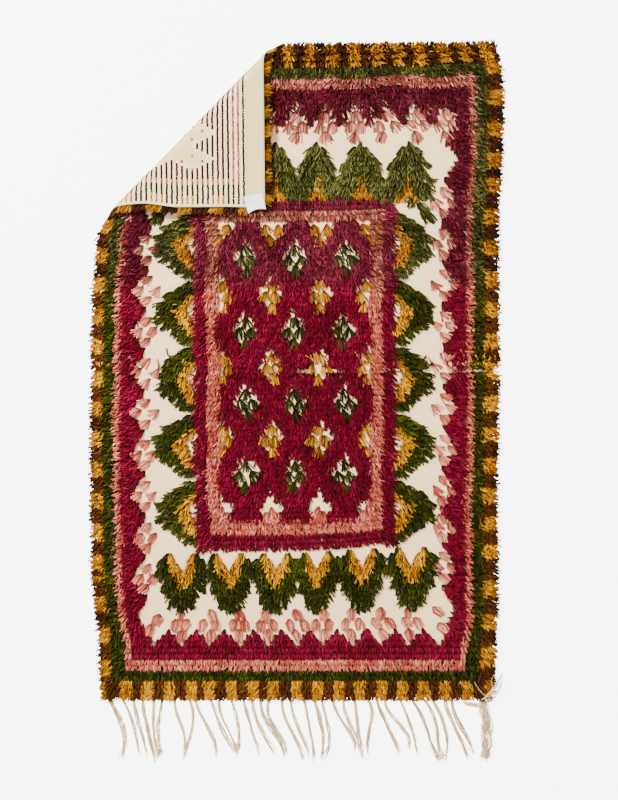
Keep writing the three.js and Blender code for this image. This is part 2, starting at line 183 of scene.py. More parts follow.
# Near the foot the rows stand a little apart in the stripes, and closer in the last blocks: how far they
# are shifted up the rug, from which row, and over how many rows.
ROW_SHIFTS = [(3, 106, 6), (-8, 114, 5), (5, 121, 4)]
BARE, CRIMSON, PINK, GREEN, GOLD, BROWN = range(6)
WOOL_NAMES = {CRIMSON: "crimson", PINK: "salmon", GREEN: "moss", GOLD: "gold", BROWN: "brown"}

row = np.arange(ROWS)[:, None] + np.zeros((1, KNOTS), int)
knot_a = -HALF_WIDTH + KNOT_PITCH * (np.arange(KNOTS)[None, :] + 0.5) + np.zeros((ROWS, 1))
knot_b = FIRST_ROW - ROW_PITCH * row
for up, first, over in ROW_SHIFTS:
    knot_b = knot_b + up * smooth((row - first) / over)
knot_x, knot_y = lie(knot_a, knot_b)
chart = np.full((ROWS, KNOTS), BARE)
print("chart", chart.shape, "from", round(float(knot_b.min())), "to", round(float(knot_b.max())), "mm")


def set_knot(k, x, colour):
    """One knot of row k, the nearest to x mm across the rug."""
    chart[k, np.argmin(np.abs(knot_x[k] - x))] = colour


def zigzag(t):
    """0 at whole numbers and 1 half way between them."""
    return 1 - np.abs(2 * (t - np.floor(t)) - 1)


# %% Motifs
# Half of a leaf at the rug's ends, from its middle outwards, g green and y gold.
END_LEAF = [
    "....yg...",
    "...yyggg.",
    "..yyyggg.",
    ".yyyggggg",
    "yyyggggg.",
    "yyggggg..",
    "ggggggg..",
    "gggggg...",
    "ggggg....",
    "gggg.....",
    "gg.......",
]
TOP_LEAF = [
    "g........",
    "ggg......",
    "gggg.....",
    "ggggg....",
    "gggggg...",
    "gggggg...",
    "ygggggg..",
    "yggggggg.",
    "yygggggg.",
    "yyyggggg.",
    ".yyygggg.",
]
# A whole leaf at the sides, from the panel outwards.
SIDE_LEAF = [
    "gggg..........",
    "ggggggg.......",
    "yygggggggg....",
    ".yyyggggggg...",
    "...yyyggggggg.",
    "....yyygggggg.",
    "...yyyggggggg.",
    "..yyygggggggg.",
    ".yyyggggggg...",
    "yyyggggg......",
    "gggggg........",
    "gggg..........",
]
LEAF_WOOL = {"g": GREEN, "y": GOLD}
END_LEAVES = [
    # drawing, its first row, and its middles across the rug
    (END_LEAF, 98, [-292, -174, -57.5, 44, 157.5, 280]),
    (TOP_LEAF, 18, [-290, -174, -57, 44, 157, 272]),
]
SIDE_LEAF_ROWS = [32, 45, 58, 71, 84]


def leaf(drawing, first, place, ways):
    """A leaf's letters as knots, from a place outwards in each of the ways."""
    for r, line in enumerate(drawing):
        for c, letter in enumerate(line):
            if letter in LEAF_WOOL:
                for way in ways:
                    set_knot(first + r, place + way * KNOT_PITCH * c, LEAF_WOOL[letter])


def tuft_group(x, middle, colour, spread, top=True):
    """Four single knots in a diamond, or the lower three of them."""
    if top:
        set_knot(middle - 2, x, colour)
    set_knot(middle, x - spread, colour)
    set_knot(middle, x + spread, colour)
    set_knot(middle + 2, x, colour)


print("leaves", sum(len(middles) for _, _, middles in END_LEAVES) + 2 * len(SIDE_LEAF_ROWS))


# %% The panel with its lattice
PANEL = {"left": -252, "right": 228, "top": 28, "foot": 96}
# The frame's two stripes, in mm at the sides and as rows at the ends.
PANEL_CRIMSON, PANEL_PINK = 26, 28
CRIMSON_ROWS, PINK_ROWS = (30, 94), (32, 91)
# Half the width of a window in mm, and half its height in rows.
WINDOW_WIDE, WINDOW_HIGH = 38, 4.2
GREEN_WINDOWS = {"x": (-134, -11, 112), "rows": (40, 54, 68, 82)}
GOLD_WINDOWS = {"x": (-194, -71, 51, 173), "rows": (34, 47, 61, 75, 89)}


def panel_lean(r):
    """How far the panel's left side has come in at a row."""
    return 8 * smooth((r - 70) / 26)


from_left = knot_x - PANEL["left"] - panel_lean(row)
from_right = PANEL["right"] - knot_x
from_side = np.minimum(from_left, from_right)
in_panel = (from_side > 0) & (row >= PANEL["top"]) & (row <= PANEL["foot"])
crimson_frame = (from_side < PANEL_CRIMSON) | (row <= CRIMSON_ROWS[0]) | (row >= CRIMSON_ROWS[1])
pink_frame = (from_side < PANEL_CRIMSON + PANEL_PINK) | (row <= PINK_ROWS[0]) | (row >= PINK_ROWS[1])
chart[in_panel] = CRIMSON
chart[in_panel & pink_frame & ~crimson_frame] = PINK
field = in_panel & ~pink_frame

windows = [(x, r, GREEN) for x in GREEN_WINDOWS["x"] for r in GREEN_WINDOWS["rows"]]
windows += [(x, r, GOLD) for x in GOLD_WINDOWS["x"] for r in GOLD_WINDOWS["rows"]]
for x, r, colour in windows:
    inside = np.abs(knot_x - x) / WINDOW_WIDE + np.abs(row - r + 0.6) / WINDOW_HIGH < 1
    chart[field & inside] = BARE
for x, r, colour in windows:
    if r == GOLD_WINDOWS["rows"][0]:
        # The frame cuts off the top of these windows.
        tuft_group(x, r, colour, 18, top=False)
    elif r == GOLD_WINDOWS["rows"][-1]:
        # Of these it leaves a low gap, with a small peak of the frame's own wool.
        set_knot(r, x, PINK)
        for aside in (-14, -7, 0, 7, 14):
            set_knot(r + 1, x + aside, PINK)
    elif x in (GOLD_WINDOWS["x"][0], GOLD_WINDOWS["x"][-1]):
        # Half windows at the panel's sides hold three tufts.
        inwards = 1 if x < 0 else -1
        set_knot(r - 2, x + 8 * inwards, colour)
        set_knot(r, x + 20 * inwards, colour)
        set_knot(r + 2, x + 8 * inwards, colour)
    else:
        tuft_group(x, r, colour, 13)
print("windows", len(windows))

# %% Leaves, sprigs and tufts on the bare band
for drawing, first, middles in END_LEAVES:
    for x in middles:
        leaf(drawing, first, x, (-1, 1))
for r in SIDE_LEAF_ROWS:
    leaf(SIDE_LEAF, r, PANEL["left"] + float(panel_lean(r)) - KNOT_PITCH / 2, [-1])
    leaf(SIDE_LEAF, r, PANEL["right"] + 3 + KNOT_PITCH / 2, [1])
# A short sprig runs out from each upper corner of the panel, and is two knots wide.
SPRIG_ROW, SPRIG_X, SPRIG_STEP, PANEL_MIDDLE = 28, 272, 10, -14
for step in range(5):
    for x in (SPRIG_X + SPRIG_STEP * step, SPRIG_X + SPRIG_STEP * (step + 1)):
        set_knot(SPRIG_ROW + step, x, GREEN)
        set_knot(SPRIG_ROW + step, 2 * PANEL_MIDDLE - x, GREEN)

# The zigzag where the crimson ends: a valley, the distance to the next, and the tufts in the valleys, with
# their row, their spread and the stretch of the rug that has them.
FOOT_ZIGZAG = {"valley": -9.0, "period": 70.4, "row": 111, "spread": 16, "tufts": (-330, 310)}
TOP_ZIGZAG = {"valley": -5.0, "period": 72.6, "row": 14, "spread": 17, "tufts": (-370, 370)}
for zig in (FOOT_ZIGZAG, TOP_ZIGZAG):
    for n in range(-5, 6):
        x = zig["valley"] + zig["period"] * n
        if zig["tufts"][0] < x < zig["tufts"][1]:
            tuft_group(x, zig["row"], PINK, zig["spread"])
# Single tufts in the two lower corners.
for x, r in ((-350, 110), (-369, 112), (336, 109), (352, 112)):
    set_knot(r, x, PINK)
# Along the sides the valleys are counted in rows.
SIDE_VALLEY, SIDE_PERIOD = {"left": 14, "right": 13}, 8
for n in range(3, 12):
    tuft_group(-373 if n > 4 else -368, SIDE_VALLEY["left"] + SIDE_PERIOD * n, PINK, 19)
for n in range(2, 12):
    tuft_group(352, SIDE_VALLEY["right"] + SIDE_PERIOD * n, PINK, 18)
print("tufts and leaves", int((chart[~in_panel] != BARE).sum()), "knots")

# %% Borders
# Four stripes inwards from the edge: blocks, green, pink and crimson. In mm from the side edges, where the
# first three end, and then where the crimson ends in its valleys and how much further at its peaks.
SIDE_STRIPES = {"left": [28, 55, 72], "right": [33, 61, 78]}
CRIMSON_ENDS = {"left": (88, 30), "right": (99, 24)}
NO_STRIPE = 9
side_at = HALF_WIDTH - np.abs(knot_a)
at_left = knot_a < 0
side_wave = zigzag((row - np.where(at_left, SIDE_VALLEY["left"], SIDE_VALLEY["right"])) / SIDE_PERIOD)
side_band = np.where(
    at_left, np.digitize(side_at, SIDE_STRIPES["left"]), np.digitize(side_at, SIDE_STRIPES["right"])
)
crimson_to = [valley + peak * side_wave for valley, peak in CRIMSON_ENDS.values()]
side_band = np.where(side_at > np.where(at_left, *crimson_to), NO_STRIPE, side_band)
foot_wave = zigzag((knot_x - FOOT_ZIGZAG["valley"]) / FOOT_ZIGZAG["period"])
top_wave = zigzag((knot_x - TOP_ZIGZAG["valley"]) / TOP_ZIGZAG["period"]) ** 0.8
top_wave = np.where(knot_x > 325, np.maximum(top_wave, 0.45), top_wave)
foot_band = np.select(
    [row >= 122, row >= 120, row >= 118, (row >= 116) | (row >= 115.6 - 3.0 * foot_wave)],
    [0, 1, 2, 3],
    NO_STRIPE,
)
top_band = np.select(
    [row <= 2, row <= 4, row <= 6, (row <= 9) | (top_wave > 0.08 + 0.2 * (row - 9))],
    [0, 1, 2, 3],
    NO_STRIPE,
)
top_band[14:] = NO_STRIPE
band = np.minimum(np.minimum(foot_band, top_band), side_band)
# Gold and brown blocks: three rows each along the sides, where the weaver's count slips by a row or two,
# and about as wide along the ends.
slip = np.where(knot_a > 0, (row > 24) & (row < 101), -2 * (row > 101))
side_block = np.where((row - 8 + slip) // 3 % 2 == 0, GOLD, BROWN)
top_block = np.where((knot_x - 446) % 54.4 < 28, GOLD, BROWN)
foot_block = np.where((knot_x + 496.5) % 52.8 < 28.5, GOLD, BROWN)
block = np.where(top_band == 0, top_block, np.where(foot_band == 0, foot_block, side_block))
for level, colour in enumerate([block, GREEN, PINK, CRIMSON]):
    chart = np.where(band == level, colour, chart)
print("knots", {name: int((chart == colour).sum()) for colour, name in WOOL_NAMES.items()})

# %% [markdown]
# ## How the pile lies
#
# The pile falls towards the fringe and leans outwards along the sides. At the top edge it stands over
# the edge, and at the crease across the middle, where the rug was folded in store, it parts. Where wool
# borders on bare ground it flares over the ground. Slow noise makes it swirl, and neighbours swirl alike.

# %% Lie of the pile
def blur(values, times):
    """Each knot takes on something of its neighbours."""
    out = values.astype(float)
    for _ in range(times):
        out = np.pad(out, 1, mode="edge")
        out = (out[:-2] + 2 * out[1:-1] + out[2:]) / 4
        out = (out[:, :-2] + 2 * out[:, 1:-1] + out[:, 2:]) / 4
    return out


def swirl(cell_rows, cell_knots):
    """Slow noise from -1 to 1 over the chart."""
    coarse = rng.uniform(-1, 1, (ROWS // cell_rows + 3, KNOTS // cell_knots + 3))
    r = row / cell_rows
    c = np.arange(KNOTS)[None, :] / cell_knots + np.zeros((ROWS, 1))
    r0, c0 = r.astype(int), c.astype(int)
    fr, fc = smooth(r - r0), smooth(c - c0)
    low = coarse[r0, c0] * (1 - fc) + coarse[r0, c0 + 1] * fc
    high = coarse[r0 + 1, c0] * (1 - fc) + coarse[r0 + 1, c0 + 1] * fc
    return low * (1 - fr) + high * fr


# Where the crease lies along the rug, and the middle of its open stretch across the panel.
CREASE = 9.0
OPEN_MIDDLE = 25
# Rows above the panel and below it, and the first row of the band at the foot.
ABOVE_PANEL, BELOW_PANEL, FOOT_BAND = 30, 100, 111
covered = chart != BARE
cover = blur(covered, 2)
to_bare_x = -np.gradient(cover, axis=1)
out_from = np.abs(knot_a)
past = past_fold(knot_x, knot_y)
turned_over = past > 0
rim = smooth((out_from - 430) / 40)
near_foot = smooth((row - 108) / 8)
near_top = np.clip((3 - row) / 3, 0, 1)
# The end leaves lie straight, so the pile leans out only beyond them.
by_top_leaves = (row > 14) & (row < ABOVE_PANEL)
by_end_leaves = by_top_leaves | ((row > PANEL["foot"]) & (row < FOOT_BAND - 1))
lean_from = np.where(by_end_leaves, 290, 150)
sideways = np.sign(knot_a) * (0.55 * smooth((out_from - lean_from) / 80) + 0.45 * smooth((out_from - 300) / 130))
# The parting at the crease is open at the right edge and across the panel, and nearly closed at the left.
parted = np.clip(
    0.4 + 0.7 * swirl(40, 9) + 0.5 * swirl(40, 4)
    + 0.8 * smooth((knot_a - 320) / 40)
    + 0.4 * smooth(1 - np.abs(knot_a - OPEN_MIDDLE) / 150)
    - 0.4 * smooth((-290 - knot_a) / 60),
    0.1,
    1,
)
above_crease = np.where(knot_b > CREASE, np.exp(-(knot_b - CREASE) / 12), 0) * parted
flare = np.where(in_panel, 0.4, np.where(row > 95, 0.8, 1.8))
lay_x = sideways * (1.3 - near_foot * (1.0 - 0.6 * rim)) + flare * to_bare_x
upright = np.maximum(0.8 * near_top, 0.8 * above_crease)
# Share of a knot's strands that falls the other way, over the top edge or away from the crease.
back_share = np.maximum((0.6 + 0.2 * turned_over) * near_top, np.minimum(1.3 * above_crease, 0.95))
# The direction in which a knot's pile lies, with slow swirls, and livelier ones in the panel and at the top.
turned = (
    np.arctan2(-1.0, lay_x)
    + (1 - 0.5 * rim) * (0.3 * swirl(8, 14) + 0.2 * swirl(3, 6))
    + rng.normal(0, 0.08, chart.shape)
    + 0.35 * swirl(5, 10) * in_panel
    + 0.5 * near_top * swirl(3, 7)
    + 0.8 * swirl(5, 9) * smooth((row - 2) / 3) * smooth((13 - row) / 4) * (out_from < 380)
)
print("mean cover", round(float(cover.mean()), 2))

# %% [markdown]
# ## Tufts
#
# Each knot holds several strands of wool, drawn about 3.5 mm thick so that they show singly. A strand is a
# short tube of three sides: it leaves the ground, bends over and ends cut off. Its UV holds a tone of its
# own and how far along it a point is, for the wool's shade. All strands of a wool are one mesh, built
# from arrays, because that many tubes would take the operators far too long.

# %% Mesh and tube builders
def new_piece(name, corners, corner_of, sizes, materials, material_of, strand_uv):
    """A mesh from its points in metres, the points of its faces in turn, and how many each face has."""
    mesh = bpy.data.meshes.new(name)
    mesh.vertices.add(corners.size // 3)
    mesh.vertices.foreach_set("co", corners.reshape(-1))
    mesh.loops.add(corner_of.size)
    mesh.loops.foreach_set("vertex_index", corner_of.astype(np.int32))
    mesh.polygons.add(sizes.size)
    mesh.polygons.foreach_set("loop_start", (np.cumsum(sizes) - sizes).astype(np.int32))
    mesh.polygons.foreach_set("loop_total", sizes.astype(np.int32))
    for material in materials:
        mesh.materials.append(material)
    mesh.polygons.foreach_set("material_index", material_of.astype(np.int32))
    mesh.update(calc_edges=True)
    mesh.uv_layers.new(name="strand").data.foreach_set("uv", strand_uv.reshape(-1))
    piece = bpy.data.objects.new(name, mesh)
    bpy.context.collection.objects.link(piece)
    return piece


def tubes(name, paths, radius, tone, material, sides=3):
    """One mesh of closed tubes. paths is (tubes, points, 3) in metres, radius (tubes, points)."""
    count, points, _ = paths.shape
    ahead = np.gradient(paths, axis=1)
    ahead /= np.linalg.norm(ahead, axis=2, keepdims=True) + 1e-9
    up = np.where(np.abs(ahead[..., 2:]) > 0.93, [1.0, 0, 0], [0, 0, 1.0])
    side = np.cross(ahead, up)
    side /= np.linalg.norm(side, axis=2, keepdims=True) + 1e-9
    over = np.cross(side, ahead)
    angle = rng.uniform(0, 2 * math.pi, count)[:, None, None] + np.arange(sides) * 2 * math.pi / sides
    ring = side[:, :, None] * np.cos(angle)[..., None] + over[:, :, None] * np.sin(angle)[..., None]
    corners = paths[:, :, None] + ring * radius[:, :, None, None]
    first = np.arange(count)[:, None, None] * points * sides
    j = np.arange(points - 1)[None, :, None] * sides
    s = np.arange(sides)[None, None, :]
    s_next = (s + 1) % sides
    quads = np.stack([first + j + s, first + j + sides + s, first + j + sides + s_next, first + j + s_next], -1)
    root_cap = first[:, 0] + np.arange(sides)[None, :]
    tip_cap = first[:, 0] + (points - 1) * sides + np.arange(sides)[None, ::-1]
    corner_of = np.concatenate([quads.reshape(-1), root_cap.reshape(-1), tip_cap.reshape(-1)])
    sizes = np.concatenate([np.full(quads.size // 4, 4), np.full(2 * count, sides)])
    along = (corner_of // sides % points) / (points - 1)
    strand_uv = np.stack([tone[corner_of // (points * sides)], along], -1)
    piece = new_piece(name, corners, corner_of, sizes, [material], np.zeros(sizes.size), strand_uv)
    piece.data.polygons.foreach_set("use_smooth", np.ones(sizes.size, bool))
    return piece


def triangles(piece):
    piece.data.calc_loop_triangles()
    return len(piece.data.loop_triangles)


# %% [markdown]
# ## Materials
#
# Wool rug yarn: woollen spun and dyed, matt, with a faint sheen from its loose fibres. Each strand is a
# little lighter or darker than the next, and darker at its root, where little light comes. The upper rows
# were knotted from another dye lot, duller and lighter. Cotton: plain weave of unbleached yarn, quite
# matt, with slubs. Each is one Principled shader, so that the export can bake it.

# %% Material helpers
def linear(code):
    """An sRGB hex colour as linear RGBA."""
    channels = [int(code[i : i + 2], 16) / 255 for i in (1, 3, 5)]
    return [c / 12.92 if c <= 0.04045 else ((c + 0.055) / 1.055) ** 2.4 for c in channels] + [1.0]


def feed(tree, node, values, links):
    """Sets a node's inputs, and feeds others from a node's first output or from (node, output)."""
    for name, value in values.items():
        node.inputs[name].default_value = value
    for name, source in links.items():
        source, output = source if isinstance(source, tuple) else (source, 0)
        tree.links.new(source.outputs[output], node.inputs[name])


def add_node(tree, kind, settings=None, values=None, links=None):
    """One node with its settings, its input values and its links."""
    made = tree.nodes.new("ShaderNode" + kind)
    for name, value in (settings or {}).items():
        setattr(made, name, value)
    feed(tree, made, values or {}, links or {})
    return made


def new_material(name):
    material = bpy.data.materials.new(name)
    material.use_nodes = True
    tree = material.node_tree
    return material, tree, tree.nodes["Principled BSDF"]


def own_map(tree, uv_map):
    """A piece's UV map, and its two axes apart."""
    uv = add_node(tree, "UVMap", {"uv_map": uv_map})
    return uv, add_node(tree, "SeparateXYZ", links={"Vector": uv})


def strand_tone(tree, split, shades, middle):
    """Each strand's own shade between a dark, a middle and a light one."""
    toned = add_node(tree, "ValToRGB", links={"Fac": (split, "X")})
    toned.color_ramp.elements.new(0.5)
    for stop, place, code in zip(toned.color_ramp.elements, (0.0, middle, 1.0), shades):
        stop.position, stop.color = place, linear(code)
    return toned


# %% Wool
# Between these two places along the rug, in metres, one dye lot gives way to the other.
LOT_FROM, LOT_TO = 0.2, 0.243
# Fibres of a few hundredths of a millimetre are drawn about 1 mm coarse, so that they show.
FIBRE_SCALE = 900.0


def wool(name, lower, upper, sheen):
    """Wool yarn from its dark, middle and light shades in the lower and in the upper dye lot."""
    material, tree, shader = new_material(name)
    _, split = own_map(tree, "strand")
    place = add_node(tree, "TexCoord")
    here = add_node(tree, "SeparateXYZ", links={"Vector": (place, "Object")})
    lot_change = {"From Min": LOT_FROM, "From Max": LOT_TO}
    lot = add_node(tree, "MapRange", values=lot_change, links={"Value": (here, "Y")})
    tones = [strand_tone(tree, split, shades, 0.55) for shades in (lower, upper)]
    dyed = add_node(tree, "Mix", {"data_type": "RGBA"}, links={"Factor": lot, 6: tones[0], 7: tones[1]})
    root_to_tip = {"From Max": 0.9, "To Min": 0.16, "To Max": 1.08}
    root = add_node(tree, "MapRange", values=root_to_tip, links={"Value": (split, "Y")})
    fibre_size = {"Scale": FIBRE_SCALE, "Detail": 2.0}
    fibre = add_node(tree, "TexNoise", values=fibre_size, links={"Vector": (place, "Object")})
    fleck = add_node(tree, "MapRange", values={"To Min": 0.86, "To Max": 1.14}, links={"Value": fibre})
    shade = add_node(tree, "Math", {"operation": "MULTIPLY"}, links={0: root, 1: fleck})
    colour = add_node(tree, "VectorMath", {"operation": "SCALE"}, links={"Scale": shade, 0: (dyed, 2)})
    bump = add_node(tree, "Bump", values={"Strength": 0.35, "Distance": 0.0006}, links={"Height": fibre})
    surface = {
        "Roughness": 0.88, "Specular IOR Level": 0.1,
        "Sheen Weight": 0.01, "Sheen Roughness": 0.5, "Sheen Tint": linear(sheen),
    }
    feed(tree, shader, surface, {"Base Color": colour, "Normal": bump})
    return material


# Dark, middle and light in the lower dye lot, the same in the upper one, and the sheen's tint.
SHADES = {
    CRIMSON: (("#36000a", "#6c001c", "#98123a"), ("#280008", "#500818", "#86283c"), "#ff9ab0"),
    PINK: (("#82261c", "#c65c48", "#ffa888"), ("#541410", "#904638", "#fa9680"), "#ffd0c4"),
    GREEN: (("#0a0a00", "#2c2e00", "#535909"), ("#0e0e00", "#32330a", "#717036"), "#c8d08a"),
    GOLD: (("#5c2c00", "#c68000", "#ffc010"), ("#4c2200", "#ac6800", "#f4a808"), "#ffe2a0"),
    BROWN: (("#200c00", "#502806", "#7c4818"), ("#180800", "#381a04", "#643814"), "#d8b090"),
}
WOOL = {colour: wool(f"wool_yarn_{WOOL_NAMES[colour]}", *shades) for colour, shades in SHADES.items()}
print("wools", [m.name for m in WOOL.values()])

# %% [markdown]
# ## Strands of pile
#
# Where the ground is well covered a few strands a knot are enough, while a lone tuft on bare ground shows
# each of its strands and gets more. At the rug's rim the pile is thickest. Where the turned corner hides
# the pile, there is one strand a knot.

# %% How many strands
DENSE, LOOSE, HIDDEN = 4, 9, 1
WELL_COVERED = 0.62
# Where the tip of the turned corner lies, and how far inside its outline the pile is surely hidden.
FLAP_TIP, FLAP_MARGIN = (-82.0, 409.0), 45
edge_near = np.minimum(HALF_WIDTH - np.abs(knot_a), HALF_LENGTH - np.abs(knot_b))
beside_tip = (knot_x < FLAP_TIP[0] - FLAP_MARGIN) & (knot_y > FLAP_TIP[1] + FLAP_MARGIN)
under_flap = (past < 0) & (past > -270) & beside_tip
hidden = under_flap | (turned_over & (edge_near > FLAP_MARGIN))
wanted = np.where(cover < WELL_COVERED, LOOSE, DENSE)
wanted = np.where(field & (cover >= WELL_COVERED), DENSE + 1, wanted)
for margin, more in ((16, 3), (9, 8)):
    wanted = np.where((edge_near < margin) & (cover > 0.5), DENSE + more, wanted)
wanted = np.where(covered, np.where(hidden, HIDDEN, wanted), 0)

repeat = wanted.reshape(-1)
knot_of = np.repeat(np.arange(ROWS * KNOTS), repeat)
srow, sknot = knot_of // KNOTS, knot_of % KNOTS
total = srow.size
print("strands", total)


def own(values):
    """What the chart gives for each strand's knot."""
    return values[srow, sknot]


# %% Where each strand lies
# Its place in its tuft, from -0.5 to 0.5.
share = (np.arange(total) - np.repeat(np.cumsum(repeat) - repeat, repeat) + 0.5) / own(wanted) - 0.5
loose = smooth((0.75 - own(cover)) / 0.45)
lone = smooth((0.4 - own(cover)) / 0.15)
at_foot, at_top = srow > BELOW_PANEL, srow < ABOVE_PANEL
settled = 1 - 0.6 * loose
# Single tufts fan out, most of all in the windows and above the top leaves.
fan = (
    0.35
    + 0.5 * loose
    - 0.45 * (1 - lone) * (srow >= FOOT_BAND)
    + own(0.15 + 0.45 * in_panel + 0.4 * (row < ABOVE_PANEL) * (chart == PINK)) * lone
)
heading = own(turned) + share * fan + rng.normal(0, 0.14 - 0.07 * loose, total)
tall = own(upright)
backwards = rng.random(total) < own(back_share)
heading = np.where(backwards, math.pi / 2 + rng.normal(0, 0.6, total), heading + tall * rng.normal(0, 0.5, total))
# Short bumps in the bands near the foot and in the panel's frame, longer strands elsewhere.
in_frame = in_panel & pink_frame & (from_side > PANEL_CRIMSON)
stubby = own(smooth((row - 112) / 3) + in_frame) * (1 - own(rim))
at_rim = smooth((16 - own(edge_near)) / 12)
reach = (
    rng.normal(24, 1.8, total)
    - 3.5 * stubby
    + 5 * loose
    - 10 * tall
    + 4 * tall * own(turned_over)
    + 2 * lone * at_foot
    - at_rim * rng.uniform(0, 6, total)
    + 3 * own(in_panel) * (1 - stubby - lone)
    + 2 * at_top * lone
)
# How far the ends of a tuft close up again.
closed = np.where(at_foot, 0.6, own(rng.uniform(-0.1, 0.55, chart.shape)))
tuft_width = 4.5 - 1.6 * loose + 2.0 * lone * at_foot
root_a = own(knot_a) + share * tuft_width + rng.normal(0, 0.5, total) * settled
# Beside the crease the knots draw apart, in dashes across the panel.
dashes = 0.5 + 0.7 * np.sin(knot_a / 5 + np.sin(knot_a / 17))
dashes = np.where(np.abs(knot_a - OPEN_MIDDLE) < 170, dashes, 1)
drawn_apart = np.exp(-np.abs(knot_b - CREASE + 2.5) / 7) * (5 * parted - 2 * swirl(40, 6))
beside_crease = np.sign(CREASE - knot_b) * drawn_apart * dashes
root_b = own(knot_b + beside_crease) + rng.normal(0, 0.8, total) * settled
root_x, root_y = lie(root_a, root_b)
bend = rng.normal(0, 0.14, total) * settled - closed * share * loose
print("reach", round(float(reach.mean()), 1), "mm on average")


# %% How high each strand lies
def nearest_knot(a, b):
    """Row and knot of the chart that are nearest to a place of the nominal rug."""
    r = np.clip(np.rint((FIRST_ROW - b) / ROW_PITCH).astype(int), 0, ROWS - 1)
    return r, np.clip(np.rint((a + HALF_WIDTH) / KNOT_PITCH - 0.5).astype(int), 0, KNOTS - 1)


def bed(x, y):
    """Share of the ground that is covered at a place of the flat rug."""
    a = x * HALF_WIDTH / np.where(x < 0, half_width(y, EDGE_LEFT), half_width(y, EDGE_RIGHT))
    off = (np.abs(a) > HALF_WIDTH) | (np.abs(y) > HALF_LENGTH)
    return np.where(off, 0.55, cover[nearest_knot(a, y)])


def strand_point(share_along, turn):
    """A place on the way from a strand's root to its end."""
    way = heading + turn
    return root_x + np.cos(way) * reach * share_along, root_y + np.sin(way) * reach * share_along


# Lowest place of a strand's middle line over the floor, in metres.
FLOOR_CLEAR = 0.0016
lift = rng.normal(0, 0.8, total)
mid_x, mid_y = strand_point(0.45, -bend)
end_x, end_y = strand_point(1.0, bend)
mid_bed = smooth(bed(mid_x, mid_y) * 1.15)
end_bed = smooth(bed(end_x, end_y) * 1.15)
mid_z = 4.8 + (3.2 + 2.2 * stubby) * mid_bed + lift + 4.0 * tall
end_z = (
    4.6
    + (7.6 - 4.6 * stubby) * end_bed
    + 1.5 * lift * (0.35 + 0.65 * end_bed)
    + rng.normal(0, 0.6, total)
    + 3.0 * tall
)
end_z = np.clip(end_z, 3.9, 16.5)
points_flat = [(root_x, root_y, np.full(total, 2.2)), (mid_x, mid_y, mid_z), (end_x, end_y, end_z)]
paths = np.stack([turn_corner(*p) for p in points_flat], axis=1)
paths[..., 2] = np.maximum(paths[..., 2], FLOOR_CLEAR)
thick = (rng.normal(1.75, 0.15, total) + 0.3 * loose + 0.35 * lone * at_foot + 0.4 * at_rim) * MM
radius = np.stack([0.85 * thick, thick, 0.95 * thick], axis=1)
print("heights", round(float(paths[..., 2].min()), 4), "to", round(float(paths[..., 2].max()), 4), "m")

# %% Each strand's tone, and the pile itself
patch_tone = 0.5 + 0.12 * swirl(6, 10) + 0.1 * swirl(2, 3)
tone = np.clip(own(patch_tone) + rng.normal(0, 0.21, total), 0, 1)
colour_of = own(chart)
# Worn and handled parts are a little lighter: the lattice's upper half, and the bands at both ends.
band_tone = (
    in_panel * (0.14 - 0.19 * smooth((row - 41) / 9)) * (chart == CRIMSON)
    + 0.08 * (row >= FOOT_BAND) * (chart == PINK)
    + 0.16 * (chart == GREEN) * by_top_leaves
    + 0.14 * (chart == CRIMSON) * (row >= FOOT_BAND)
)
tone = tone + lone * np.where(colour_of == PINK, np.where(at_top, 0.2, 0.15), -0.12)
# Painted shade: strands at the rim, which the glowing floor lights from below, are drawn darker, except on the
# turned corner.
tone = np.clip(tone - 0.3 * at_rim * ~own(turned_over) + own(band_tone), 0, 1)

STRAND_TRIANGLES, PIECE_TRIANGLES = 14, 190000
pile = []
for colour, wool_name in WOOL_NAMES.items():
    chosen = np.flatnonzero(colour_of == colour)
    parts = math.ceil(chosen.size * STRAND_TRIANGLES / PIECE_TRIANGLES)
    # Cut across the rug, so that each part is one stretch of rows.
    for n, part in enumerate(np.array_split(chosen, parts)):
        name = f"pile_{wool_name}" if parts == 1 else f"pile_{wool_name}_{n + 1}"
        pile.append(tubes(name, paths[part], radius[part], tone[part], WOOL[colour]))
for piece in pile:
    print(piece.name, triangles(piece))

# %% [markdown]
# ## The woven ground
#
# A grid, finest where it bends round the fold, given its thickness and laid through the same functions.
# Its UV map is the flat cloth in metres, so the weave runs along threads. At the top edge a 48 mm hem is
# turned to the back, and each selvedge is a thicker cord.

# %% Cotton
# The plain weave repeats over two threads, in metres, and the hem begins at this place along the cloth.
WEAVE_REPEAT = 0.0032
HEM_FROM = 761


